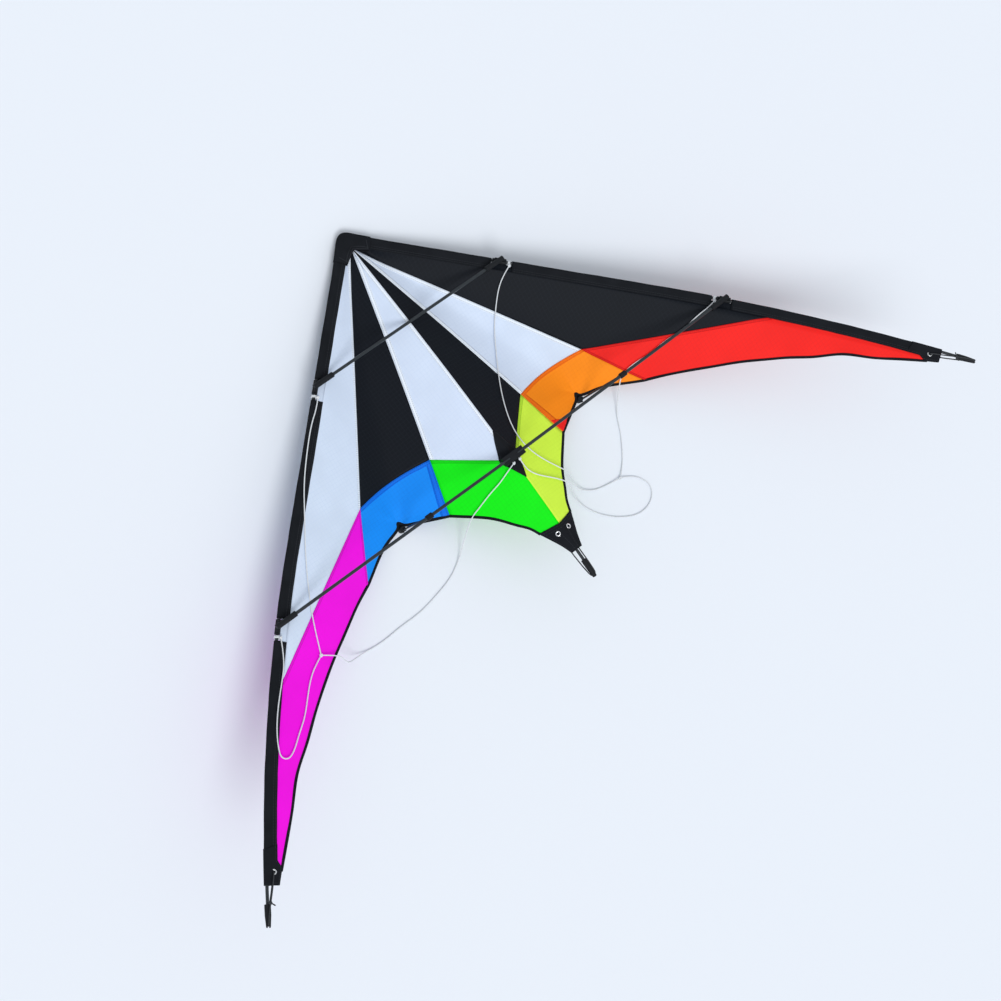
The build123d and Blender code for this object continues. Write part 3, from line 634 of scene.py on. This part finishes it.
seams = {
    "fanY": 330.0, "apexY": 336.0, "centre": (0.0, -5.0), "innerTop": (77.0, 62.0),
    "outerTop": (187.0, 64.0), "bandStation": 580.0, "arch": 6.5, "tucked": 11.4,
}
scallops = {
    "inner": [(0, -106), (24.5, -99), (31, -84), (41, -70), (61, -43), (97, -9)],
    "middle": [(97, -9), (133, 9), (146, 16), (152.5, 24), (160, 17), (192, 7), (236, -17)],
    "outer": [(236, -17), (268, -31), (304, -50), (345, -72), (393, -102), (428, -127),
              (463, -150), (496, -181), (527, -208), (556, -233)],
}
panels = {
    "innerGore": {"node": "inner_gore", "grid": (22, 70), "flat": (0.105, 0.345), "area": 0.0146},
    "middleGore": {"node": "middle_gore", "grid": (26, 70), "flat": (0.125, 0.340), "area": 0.0168},
    "outerGore": {"node": "outer_gore", "grid": (24, 90), "flat": (0.140, 0.560), "area": 0.0240},
    "innerBand": {"node": "inner_band", "grid": (40, 26), "flat": (0.115, 0.150), "area": 0.0098},
    "middleBand": {"node": "middle_band", "grid": (70, 20), "flat": (0.085, 0.165), "area": 0.0077},
    "outerBand": {"node": "outer_band", "grid": (110, 16), "flat": (0.085, 0.420), "area": 0.0166},
}
cloths = {
    "left": {"innerGore": "white_cloth", "middleGore": "black_cloth", "outerGore": "white_cloth",
             "innerBand": "green_cloth", "middleBand": "blue_cloth", "outerBand": "magenta_cloth"},
    "right": {"innerGore": "black_cloth", "middleGore": "white_cloth", "outerGore": "black_cloth",
              "innerBand": "lime_cloth", "middleBand": "orange_cloth", "outerBand": "red_cloth"},
}


seamShare = 5 / 9   # of the outer band's upper edge; the rest runs along the sleeve
sail = {"cloth": 0.3, "below": 0.45, "caught": 14}


def fanLine(end, share):
    start = end[0] * (seams["apexY"] - seams["fanY"]) / (seams["apexY"] - end[1])
    return mixed((start, seams["fanY"]), end, share)


fanStation = (sleeveEdge(0)[1] - seams["fanY"]) / (sleeveEdge(0)[1] - sleeveEdge(1)[1])
sailEnd = edgeLength - 75.0


def arched(place, share, much=1.0):
    # the middle seam between gore and band bows towards the nose
    return place[0], place[1] + seams["arch"] * math.sin(math.pi * share) * much


def outerLine(share):
    # the outer band's upper edge: along the seam, then along the sleeve
    if share <= seamShare:
        meeting = sleeveEdge(seams["bandStation"], seams["tucked"])
        return mixed(seams["outerTop"], meeting, share / seamShare)
    along = (share - seamShare) / (1 - seamShare)
    station = seams["bandStation"] + (sailEnd - seams["bandStation"]) * along
    return sleeveEdge(station, seams["tucked"])


def innerEdge(share):
    # straight under the tail patch to its corner, then the scallop
    if share < 0.2:
        return mixed(scallops["inner"][0], scallops["inner"][1], share * 5)
    return smoothLine(scallops["inner"][1:], (share - 0.2) / 0.8)


def planOf(panel, u, v):
    # u runs out from the spine, v from the nose towards the trailing edge
    if panel == "innerGore":
        return mixed(fanLine(seams["centre"], v), fanLine(seams["innerTop"], v), u)
    if panel == "middleGore":
        place = mixed(fanLine(seams["innerTop"], v), fanLine(seams["outerTop"], v), u)
        return arched(place, u, v ** 5)
    if panel == "outerGore":
        station = fanStation + (seams["bandStation"] - fanStation) * v
        return mixed(fanLine(seams["outerTop"], v), sleeveEdge(station, seams["tucked"]), u)
    if panel == "innerBand":
        return mixed(mixed(seams["centre"], seams["innerTop"], u), innerEdge(u), v)
    if panel == "middleBand":
        top = arched(mixed(seams["innerTop"], seams["outerTop"], u), u)
        return mixed(top, smoothLine(scallops["middle"], u), v)
    return mixed(outerLine(u), smoothLine(scallops["outer"], u), v)


def flutter(x, y, edge):
    # faint tension folds that fan out from the notch, stronger at the free edge
    turn = math.atan2(y - kite["notch"][1], x - kite["notch"][0])
    away = math.hypot(x - kite["notch"][0], y - kite["notch"][1])
    near = math.exp(-away / 90) * min(1.0, away / 12)
    fold = 0.55 * near * math.sin(7 * turn) + 0.35 * math.sin(x / 17 + y / 41) * math.sin(y / 23)
    return fold * 0.6 + edge ** 6 * 0.5 * math.sin(x / 9.0)


def clothPlace(side, panel, u, v, lift=0.0):
    # a place on a panel's cloth; its sleeve edge rises between the two flaps of the sleeve
    x, y = planOf(panel, u, v)
    caught = 0.0
    if panel == "outerGore":
        caught = u ** sail["caught"]
    if panel == "outerBand" and u > seamShare:
        caught = (1 - v) ** sail["caught"]
    fold = flutter(x, y, v if "Band" in panel else 0.0) * (1 - caught)
    height = sailHeight(x, y) - sail["below"] * (1 - caught) + fold + lift
    return signs[side] * x, y, height


tape = {"width": 5.5, "lift": 0.28, "cloth": 0.16, "swell": 0.12,
        "rows": (0.22, 0.8), "stitch": (1.8, 0.45, 0.25), "stitchUp": 0.22, "pitch": 2.7}
tapedEdges = {
    "left": [("innerGore", "inner"), ("innerGore", "outer"), ("outerGore", "inner"),
             ("innerBand", "top"), ("middleBand", "top"), ("outerBand", "top"),
             ("middleBand", "inner"), ("outerBand", "inner")],
    "right": [("middleGore", "inner"), ("middleGore", "outer"), ("innerBand", "top"),
              ("middleBand", "top"), ("outerBand", "top"), ("middleBand", "inner"),
              ("outerBand", "inner")],
}


def tapePoint(panel, edge, far, along):
    # far runs across the tape from the seam, along runs down the seam
    if edge == "top":
        u = along * (seamShare if panel == "outerBand" else 1.0)
        depth = math.dist(planOf(panel, u, 0), planOf(panel, u, 1))
        return u, min(0.95, far * tape["width"] / max(depth, 1))
    breadth = math.dist(planOf(panel, 0, along), planOf(panel, 1, along))
    u = min(0.45, far * tape["width"] / max(breadth, 1))
    return (1 - u if edge == "outer" else u), along


def makeTape(side, panel, edge):
    ends = [planOf(panel, *tapePoint(panel, edge, 0, t / 12)) for t in range(13)]
    length = sum(math.dist(a, b) for a, b in zip(ends, ends[1:]))

    def placeOf(far, along):
        u, v = tapePoint(panel, edge, far, along)
        swell = math.sin(math.pi * far) * tape["swell"]
        return clothPlace(side, panel, u, v, tape["lift"] + swell)

    def flatOf(far, along):
        return planOf(panel, *tapePoint(panel, edge, far, along))

    slotName = cloths[side][panel]
    name = side + panel[0].upper() + panel[1:] + edge.capitalize()
    strip = newPiece(name + "Seam", shapedGrid(4, int(length / 5), placeOf, flatOf), slotName,
                     material=doubled[slotName])
    thicken(strip, tape["cloth"])
    bm = bmesh.new()
    for far in tape["rows"]:
        def path(share, far=far):
            u, v = tapePoint(panel, edge, far, share)
            return clothPlace(side, panel, u, v, tape["lift"] + tape["stitchUp"])
        stitch(bm, path, int(length / tape["pitch"]), tape["stitch"])
    row = newPiece(name + "Stitches", bm, slotName, material=threads[slotName], smooth=False)
    return [strip, row]


def makePanel(side, name, panel):
    bm = shapedGrid(*panel["grid"], lambda u, v: clothPlace(side, name, u, v),
                    lambda u, v: planOf(name, u, v))
    if name in ("innerGore", "innerBand"):
        clearStem(bm)
    piece = newPiece(side + name[0].upper() + name[1:], bm, cloths[side][name],
                     side + "_" + panel["node"])
    thicken(piece, sail["cloth"])
    extras = [makeFacings(side)] if name == "outerGore" else []
    for taped, edge in tapedEdges[side]:
        if taped == name:
            extras += makeTape(side, name, edge)


facing = {"bare": 18.0, "inset": (3.0, 12.6), "below": 0.25, "dip": 0.5, "hollow": 1.4,
          "cloth": 0.2}


def makeFacings(side):
    # the gore's cloth reaches in to the spar where the sleeve is cut away
    near, far = facing["inset"]
    whole = bmesh.new()
    for station in kite["cutOuts"]:
        def placeOf(u, v, station=station):
            dip = facing["dip"] * math.sin(math.pi * u) * math.sin(math.pi * v)
            inset = near + (far - near) * u + facing["hollow"] * (1 - u) * (2 * v - 1) ** 4
            along = station + facing["bare"] * (2 * v - 1)
            return edgeSpot(signs[side], along, inset, -facing["below"] - dip)

        joinGrid(whole, shapedGrid(8, 22, placeOf, lambda u, v, station=station: (
            10 * u, station + 2 * facing["bare"] * v)))
    piece = newPiece(side + "Facings", whole, cloths[side]["outerGore"])
    thicken(piece, facing["cloth"])
    return piece


stemHole = {"across": 0.0022, "ahead": 0.0042}   # from its middle, in metres


def clearStem(bm):
    # the centre fitting's stem passes through the cloth to the spine
    centre = onFloor(0, 0, -kite["centreDrop"])
    stem = (centre - onFloor(0, 0, 0)).normalized()
    across = (onFloor(1, 0, 0) - onFloor(0, 0, 0)).normalized()
    ahead = stem.cross(across)
    gone = []
    for face in bm.faces:
        away = face.calc_center_median() - centre
        beside, along = abs(away.dot(across)), abs(away.dot(ahead))
        if beside < stemHole["across"] and along < stemHole["ahead"]:
            gone.append(face)
    bmesh.ops.delete(bm, geom=gone, context="FACES")


for side in signs:
    for name, panel in panels.items():
        makePanel(side, name, panel)
print("sail panels and seams stretched")

hem = {"section": [(-1.3, 0.05), (0.4, 0.12), (1.7, 0.0), (2.35, -0.4), (1.7, -0.85), (0.4, -0.9),
                   (-1.3, -0.85)],
       "cloth": 0.22, "steps": 300, "start": 0.004, "reach": 0.98, "nearby": 0.004}


def trailingLine(share):
    for name, part in (("inner", 0.2), ("middle", 0.22), ("outer", 0.58)):
        if share <= part or name == "outer":
            return smoothLine(scallops[name][name == "inner":], min(1.0, share / part))
        share -= part


def makeHem(side):
    # a narrow black binding folded over the trailing edge
    def placeOf(u, v):
        share = hem["start"] + hem["reach"] * v
        x, y = trailingLine(share)
        ahead = Vector(trailingLine(min(1, share + hem["nearby"])))
        ahead -= Vector(trailingLine(max(0, share - hem["nearby"])))
        away = Vector((ahead.y, -ahead.x)).normalized()
        out, up = hem["section"][round(u * (len(hem["section"]) - 1))]
        height = sailHeight(x, y) + flutter(x, y, 1.0)
        return signs[side] * (x + away.x * out), y + away.y * out, height + up

    bm = shapedGrid(len(hem["section"]) - 1, hem["steps"], placeOf, lambda u, v: (u * 9, v * 760))
    piece = newPiece(side + "TrailingHem", bm, "black_webbing", side + "_trailing_hem")
    thicken(piece, hem["cloth"])


for side in signs:
    makeHem(side)


def foldPlace(share, fold):
    # across webbing folded round the spar: lower flap's edge, round the outside, upper flap's edge
    part, side = abs(2 * share - 1), 1 if share > 0.5 else -1
    tangent = math.acos(fold["radius"] / fold["meet"])
    if part < 0.36:
        a = math.pi - (math.pi - tangent) * part / 0.36
        inset, height = fold["radius"] * math.cos(a), fold["radius"] * math.sin(a)
    elif part < 0.72:
        leave = (fold["radius"] * math.cos(tangent), fold["radius"] * math.sin(tangent))
        inset, height = mixed(leave, (fold["meet"], fold["gap"]), (part - 0.36) / 0.36)
    else:
        inset = fold["meet"] + (fold["width"] - fold["meet"]) * (part - 0.72) / 0.28
        height = fold["gap"]
    return inset, side * height


sleeve = {
    "radius": 2.75, "gap": 0.42, "meet": 8.0, "width": 12.4, "cloth": 0.5,
    "start": 17.0, "tipMargin": 88.0, "bare": (11.0, 17.0),   # the longer one beside the loop
    "stitchIn": (10.6, 8.0), "stitch": (2.3, 0.5, 0.3), "pitch": 3.4,
}


def makeSleeve(side):
    # three lengths of webbing, open where the spreaders' connectors and the bridle loops sit
    cuts = [sleeve["start"]]
    for station, loop in zip(kite["cutOuts"], loops["stations"][side]):
        above, below = sleeve["bare"][::1 if loop > station else -1]
        cuts += [station - above, station + below]
    cuts.append(edgeLength - sleeve["tipMargin"])
    whole, rows, total = bmesh.new(), bmesh.new(), 0
    for first, last in zip(cuts[::2], cuts[1::2]):
        total += last - first

        def placeOf(u, v, first=first, last=last):
            station = first + (last - first) * v
            inset, height = foldPlace(u, sleeve)
            ease = 0.22 * math.sin(station / 11 + 3 * u) * math.sin(station / 29)
            pucker = 0.16 * math.sin(station / 4.1) * max(0, abs(2 * u - 1) - 0.6)
            height = height * (1 + 0.08 * ease) + pucker
            return edgeSpot(signs[side], station, inset + ease, height)

        steps = int((last - first) / 3)
        joinGrid(whole, shapedGrid(30, steps, placeOf, lambda u, v: (u, v)))
        for inset in sleeve["stitchIn"]:
            for up in (-1, 1):
                def path(share, inset=inset, up=up, first=first, last=last):
                    station = first + 2 + (last - first - 4) * share
                    return edgeSpot(signs[side], station, inset, up * (sleeve["gap"] + 0.3))

                stitch(rows, path, int((last - first) / sleeve["pitch"]), sleeve["stitch"])
    piece = newPiece(side + "Sleeve", whole, "black_webbing", side + "_leading_edge_sleeve")
    thicken(piece, sleeve["cloth"])
    stitches = blackStitches(side + "SleeveStitches", rows)


patchStitch = (2.2, 0.5, 0.3)
tipPatch = {"radius": 3.4, "gap": 1.0, "meet": 9.0, "width": 12.6, "cloth": 0.5,
            "from": 95.0, "to": 48.0}


def tipWidth(back):
    # the patch widens over the corner of the sail and narrows to its end
    if back > 76:
        return 12.9
    if back > 68:
        return 12.9 + 5.6 * (76 - back) / 8
    return 18.5 - 3.6 * (68 - back) / 20


def makeTipPatch(side):
    def spot(back, inset, height):
        # the flaps leave the spar's height and settle on the sail's
        x, y, z = edgeSpot(signs[side], edgeLength - back, inset, height)
        blend = min(1.0, max(0.0, (inset - 4) / 7))
        level = edgeSpot(signs[side], edgeLength - back, inset, 0)[2]
        return x, y, z + (sailHeight(abs(x), y) - 0.3 - level) * blend ** 2

    def placeOf(u, v):
        inset, height = foldPlace(u, tipPatch)
        back = tipPatch["from"] - 5.5 * (1 - min(1, max(0, inset / 12))) * (1 - v)
        back += (tipPatch["to"] - tipPatch["from"]) * v
        if inset > 6:
            inset = 6 + (inset - 6) * (tipWidth(back) - 6) / (tipPatch["width"] - 6)
        return spot(back, inset, height + 0.12 * math.sin(back / 3.0) * (inset > 9))

    bm = shapedGrid(36, 30, placeOf, lambda u, v: (u, v))
    piece = newPiece(side + "TipPatch", bm, "black_webbing", side + "_tip_patch")
    thicken(piece, tipPatch["cloth"])
    rows = bmesh.new()
    for up in (-1, 1):
        height = up * (tipPatch["gap"] + 0.38)
        stitch(rows, lambda t: spot(88 - 38 * t, tipWidth(88 - 38 * t) - 2, height),
               13, patchStitch)
        stitch(rows, lambda t: spot(50.3, 5.5 + 7.5 * t, height), 3, (2.0, 0.5, 0.3))
    stitches = blackStitches(side + "TipPatchStitches", rows)


for side in signs:
    makeSleeve(side)
    makeTipPatch(side)
print("sleeves, hems and tip patches sewn")

tailPatch = {"half": [(27.5, -96.4), (20.2, -112), (13.8, -126), (8.6, -141)], "dip": 5.0,
             "lift": 0.75, "cloth": 0.5, "pocket": 1.5}


def tailPlace(u, v, lift=0.0):
    # the top edge dips towards the tail in the middle, and the spine's pocket stands up
    half, y = smoothLine(tailPatch["half"], v)
    x = half * (2 * u - 1)
    y -= tailPatch["dip"] * (1 - abs(2 * u - 1)) * (1 - v)
    pocket = tailPatch["pocket"] * math.exp(-(x / 3.4) ** 2) * min(1.0, 0.25 + v)
    return x, y, sailHeight(x, y) + tailPatch["lift"] + pocket + lift


def makeTailPatch():
    bm = shapedGrid(40, 30, tailPlace, lambda u, v: (u, v))
    piece = newPiece("tailPatch", bm, "black_webbing", "tail_patch")
    thicken(piece, tailPatch["cloth"])
    rows = bmesh.new()
    for u in (0.07, 0.93):
        stitch(rows, lambda t: tailPlace(u, 0.04 + 0.92 * t, 0.32), 12, patchStitch)
    for v in (0.06, 0.14):
        stitch(rows, lambda t: tailPlace(0.05 + 0.9 * t, v, 0.32), 14, patchStitch)
    for u in (0.36, 0.64):
        stitch(rows, lambda t: tailPlace(u, 0.15 + 0.8 * t, 0.32), 10, patchStitch)
    stitches = blackStitches("tailPatchStitches", rows)


centrePatch = {"half": [(0.6, 41), (6, 29), (12, 13), (15, 3), (9, -10), (0.6, -30)],
               "lift": 0.55, "cloth": 0.4}


def centrePlace(u, v, lift=0.0):
    half, y = smoothLine(centrePatch["half"], v)
    x = half * (2 * u - 1)
    return x, y, sailHeight(x, y) + centrePatch["lift"] + lift


def makeCentrePatch():
    bm = shapedGrid(14, 36, centrePlace, lambda u, v: (u, v))
    clearStem(bm)
    piece = newPiece("centrePatch", bm, "black_webbing", "centre_patch")
    thicken(piece, centrePatch["cloth"])
    rows = bmesh.new()
    for u in (0.1, 0.9):
        stitch(rows, lambda t: centrePlace(u, 0.05 + 0.9 * t, 0.28), 24, (2.0, 0.45, 0.3))
    stitches = blackStitches("centrePatchStitches", rows)


cornerPatch = {"corners": [(92.3, 12.7), (118.0, 2.4), (98.2, -8.2)], "below": 0.05, "cloth": 0.2}


def makeCornerPatch():
    # a red triangle at a corner of the right wing's bands
    def placeOf(u, v):
        first, second, third = cornerPatch["corners"]
        x, y = mixed(first, mixed(second, third, u), max(v, 0.04))
        return x, y, sailHeight(x, y) + flutter(x, y, 0.5) - cornerPatch["below"]

    bm = shapedGrid(6, 8, placeOf, lambda u, v: (u * 16, v * 16))
    piece = newPiece("cornerPatch", bm, "red_cloth")
    thicken(piece, cornerPatch["cloth"])


makeTailPatch()
makeCentrePatch()
makeCornerPatch()

noseCap = {"station": 38.0, "margin": 4.1, "endMargin": 3.5, "front": 1.0, "inner": 330.0,
           "top": 4.1, "bottom": -5.6, "rim": 5.0, "cloth": 0.7}


def capPlace(u, v, lift=0.0):
    # u runs from the lower edge round the front to the upper edge,
    # and v from the left wing to the right
    wing, sign = abs(2 * v - 1), 1 if v > 0.5 else -1
    point, way = edgeAt(noseCap["station"])
    aside = inward(way)
    outer = point - aside * noseCap["endMargin"]
    inner = point + aside * (kite["seamInset"] + noseCap["margin"] / 2)
    front = nose.y + noseCap["front"]
    start = nose - aside * noseCap["margin"]
    blunt = start.x - (start.y - front) * way.x / way.y
    corner = Vector((blunt, front))
    rim = smoothLine([(0, front), (blunt * 0.62, front - 0.4), mixed(corner, outer.to_2d(), 0.14),
                      mixed(corner, outer.to_2d(), 0.5), outer.to_2d()], wing)
    back = mixed((0, noseCap["inner"]), inner.to_2d(), wing)
    part, side = abs(2 * u - 1), 1 if u > 0.5 else -1
    middle = (noseCap["top"] + noseCap["bottom"]) / 2 * (1 - wing ** 2)
    half = (noseCap["top"] - noseCap["bottom"]) / 2 - 1.3 * wing ** 2
    length = math.dist(rim, back)
    turn = noseCap["rim"] / length
    if part < 0.35:
        a = math.pi / 2 * part / 0.35
        x, y = mixed(rim, back, turn * (1 - math.cos(a)) ** 1.4)
        height = half * math.sin(a) ** 0.7
    else:
        along = (part - 0.35) / 0.65
        x, y = mixed(rim, back, turn + (1 - turn) * along)
        height = half - 0.5 * along ** 2
    return sign * x, y, middle + side * (height + lift)


def makeNoseCap():
    bm = shapedGrid(44, 60, capPlace, lambda u, v: (u, v))
    piece = newPiece("noseCap", bm, "black_webbing", "nose_cap")
    thicken(piece, noseCap["cloth"])
    rows = bmesh.new()
    for u in (0.025, 0.075, 0.925, 0.975):
        stitch(rows, lambda t: capPlace(u, 0.03 + 0.94 * t, 0.45), 22, (2.4, 0.55, 0.35))
    for v in (0.05, 0.95):
        stitch(rows, lambda t: capPlace(0.7 + 0.28 * t, v, 0.45), 5, (2.4, 0.55, 0.35))
    stitches = blackStitches("noseCapStitches", rows)


makeNoseCap()
print("nose cap and patches sewn")

eyelet = {"bore": 1.85, "flange": 0.85, "squash": 0.62, "wall": 0.3, "wallWidth": 0.6}


def makeEyelets(name, node, places):
    # a rolled flange on each face and a barrel through the cloth, turned about the eyelet's axis
    bm = bmesh.new()
    upright = Matrix.Rotation(math.pi / 2, 4, "X")
    rim, barrel = eyelet["bore"] + eyelet["flange"], eyelet["bore"] + eyelet["wall"]
    for centre, axis, half in places:
        parts = []
        for level in (-half, half):
            place = Matrix.Translation((rim, 0, level)) @ upright
            ring = bmesh.ops.create_circle(bm, segments=10, radius=eyelet["flange"], matrix=place)
            for vert in ring["verts"]:
                vert.co.z = level + (vert.co.z - level) * eyelet["squash"]
            parts += ring["verts"]
        place = Matrix.Translation((barrel, 0, 0)) @ upright
        wall = bmesh.ops.create_circle(bm, segments=4, radius=0.5, matrix=place)
        for vert in wall["verts"]:
            vert.co.x = barrel + (vert.co.x - barrel) * eyelet["wallWidth"]
            vert.co.z *= 2 * half
        parts += wall["verts"]
        edges = list({edge for vert in parts for edge in vert.link_edges})
        bmesh.ops.spin(bm, geom=parts + edges, cent=(0, 0, 0), axis=(0, 0, 1),
                       angle=math.tau, steps=32, use_merge=True)
        turn = axis.to_track_quat("Z", "Y").to_matrix().to_4x4()
        for vert in bm.verts:
            if not vert.tag:
                vert.co = toFloor @ Matrix.Translation(centre) @ turn @ vert.co
                vert.tag = True
    bmesh.ops.remove_doubles(bm, verts=bm.verts, dist=1e-7)
    bmesh.ops.recalc_face_normals(bm, faces=bm.faces)
    newPiece(name, bm, "eyelet_metal", node)


def makeAllEyelets():
    for side, sign in signs.items():
        centre = Vector(edgeSpot(sign, edgeLength - 63, 8, 0))
        above = Vector(edgeSpot(sign, edgeLength - 63, 8, 1))
        makeEyelets(side + "TipEyelet", side + "_tip_eyelet", [(centre, above - centre, 1.35)])
    places = []
    for x in (-8.5, 8.5):
        slopeX = (sailHeight(x + 2, -111) - sailHeight(x - 2, -111)) / 4
        slopeY = (sailHeight(x, -109) - sailHeight(x, -113)) / 4
        centre = Vector((x, -111, sailHeight(x, -111) + 0.5))
        places.append((centre, Vector((-slopeX, -slopeY, 1)), 0.95))
    makeEyelets("tailEyelets", "tail_eyelets", places)


makeAllEyelets()
print("eyelets pressed")
